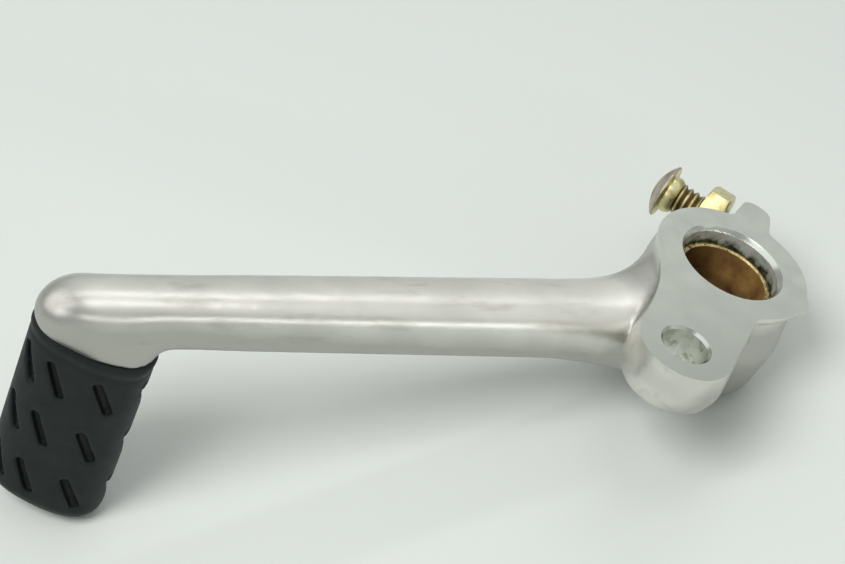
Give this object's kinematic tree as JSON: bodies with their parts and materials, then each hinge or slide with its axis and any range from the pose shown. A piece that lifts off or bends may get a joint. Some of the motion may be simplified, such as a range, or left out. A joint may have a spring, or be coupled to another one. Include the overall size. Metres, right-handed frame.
{
  "type": "motorbike brake pedal",
  "caption": "Forged foot lever on a bushed pivot, with a lug for the brake rod, an adjustable stop screw with a lock nut, and a slotted rubber on the toe peg.",
  "frame": {"origin": "on the pivot axis, at the middle of the bush's length", "axes": "+Z along the pivot axis out of the hub's machined face, +X along the arm from the pivot to the toe peg, +Y to the side that the brake rod's lug is on"},
  "size_m": [0.1436, 0.0592, 0.0541],
  "materials": {
    "lever": "satin forging, machined on the hub's face and in its bores",
    "bush": "worn bronze",
    "screw": "yellow zinc plate, worn",
    "nut": "yellow zinc plate",
    "rubber": "moulded rubber with slanted grip slots"
  },
  "bodies": {
    "lever": {"pedal_lever": "lever", "pivot_bush": "bush", "toe_rubber": "rubber"},
    "stop_screw": {"stop_screw": "screw"},
    "lock_nut": {"lock_nut": "nut"}
  },
  "joints": [
    {"name": "stop_screw_travel", "type": "slide", "parent": "lever", "child": "stop_screw", "axis": [-0.6293, 0.7771, 0], "range_m": [-0.0035, 0.0022]},
    {"name": "lock_nut_travel", "type": "slide", "parent": "lever", "child": "lock_nut", "axis": [-0.6293, 0.7771, 0], "range_m": [-0.0025, 0.0017]}
  ]
}
